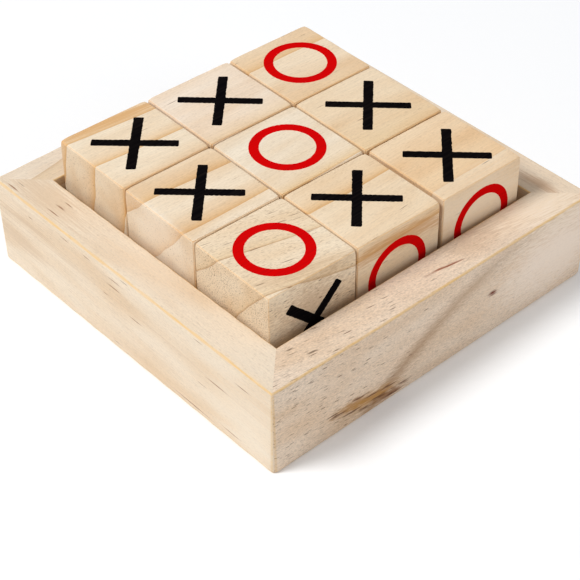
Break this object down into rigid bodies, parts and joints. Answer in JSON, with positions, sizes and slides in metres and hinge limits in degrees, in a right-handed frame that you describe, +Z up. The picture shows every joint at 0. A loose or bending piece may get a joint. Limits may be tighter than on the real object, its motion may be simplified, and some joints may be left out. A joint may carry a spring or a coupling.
{
  "type": "tic-tac-toe board",
  "caption": "Square mitred pine tray with a captive plywood floor, holding a grid of loose pine cubes printed with crosses and rings for tic-tac-toe.",
  "frame": {"origin": "middle of the tray's underside, where it stands on the table", "axes": "+Z up out of the tray, +X to the tray's right side, -Y to its front"},
  "size_m": [0.1, 0.1, 0.0354],
  "materials": {
    "pine_rail": "planed and sanded pine, bare",
    "pine_block": "sawn and tumbled pine, bare",
    "plywood": "thin plywood, bare",
    "black_ink": "screen-printed ink, satin",
    "red_ink": "screen-printed ink, satin"
  },
  "bodies": {
    "tray": {"front_rail": "pine_rail", "right_rail": "pine_rail", "back_rail": "pine_rail", "left_rail": "pine_rail", "floor_panel": "plywood"},
    "front_left": {"front_left_block": "pine_block", "front_left_top_cross": "black_ink", "front_left_right_ring": "red_ink", "front_left_bottom_cross": "black_ink", "front_left_left_ring": "red_ink"},
    "front_centre": {"front_centre_block": "pine_block", "front_centre_top_cross": "black_ink", "front_centre_right_ring": "red_ink", "front_centre_bottom_cross": "black_ink", "front_centre_left_ring": "red_ink"},
    "front_right": {"front_right_block": "pine_block", "front_right_top_ring": "red_ink", "front_right_right_cross": "black_ink", "front_right_bottom_ring": "red_ink", "front_right_left_cross": "black_ink"},
    "middle_left": {"middle_left_block": "pine_block", "middle_left_top_cross": "black_ink", "middle_left_right_ring": "red_ink", "middle_left_bottom_cross": "black_ink", "middle_left_left_ring": "red_ink"},
    "middle_centre": {"middle_centre_block": "pine_block", "middle_centre_top_ring": "red_ink", "middle_centre_right_cross": "black_ink", "middle_centre_bottom_ring": "red_ink", "middle_centre_left_cross": "black_ink"},
    "middle_right": {"middle_right_block": "pine_block", "middle_right_top_cross": "black_ink", "middle_right_right_ring": "red_ink", "middle_right_bottom_cross": "black_ink", "middle_right_left_ring": "red_ink"},
    "back_left": {"back_left_block": "pine_block", "back_left_top_ring": "red_ink", "back_left_right_cross": "black_ink", "back_left_bottom_ring": "red_ink", "back_left_left_cross": "black_ink"},
    "back_centre": {"back_centre_block": "pine_block", "back_centre_top_cross": "black_ink", "back_centre_right_ring": "red_ink", "back_centre_bottom_cross": "black_ink", "back_centre_left_ring": "red_ink"},
    "back_right": {"back_right_block": "pine_block", "back_right_top_cross": "black_ink", "back_right_right_ring": "red_ink", "back_right_bottom_cross": "black_ink", "back_right_left_ring": "red_ink"}
  },
  "joints": [
    {"name": "front_left_lift", "type": "slide", "parent": "tray", "child": "front_left", "axis": [0, 0, 1], "range_m": [0, 0.03]},
    {"name": "front_centre_lift", "type": "slide", "parent": "tray", "child": "front_centre", "axis": [0, 0, 1], "range_m": [0, 0.03]},
    {"name": "front_right_lift", "type": "slide", "parent": "tray", "child": "front_right", "axis": [0, 0, 1], "range_m": [0, 0.03]},
    {"name": "middle_left_lift", "type": "slide", "parent": "tray", "child": "middle_left", "axis": [0, 0, 1], "range_m": [0, 0.03]},
    {"name": "middle_centre_lift", "type": "slide", "parent": "tray", "child": "middle_centre", "axis": [0, 0, 1], "range_m": [0, 0.03]},
    {"name": "middle_right_lift", "type": "slide", "parent": "tray", "child": "middle_right", "axis": [0, 0, 1], "range_m": [0, 0.03]},
    {"name": "back_left_lift", "type": "slide", "parent": "tray", "child": "back_left", "axis": [0, 0, 1], "range_m": [0, 0.03]},
    {"name": "back_centre_lift", "type": "slide", "parent": "tray", "child": "back_centre", "axis": [0, 0, 1], "range_m": [0, 0.03]},
    {"name": "back_right_lift", "type": "slide", "parent": "tray", "child": "back_right", "axis": [0, 0, 1], "range_m": [0, 0.03]}
  ]
}
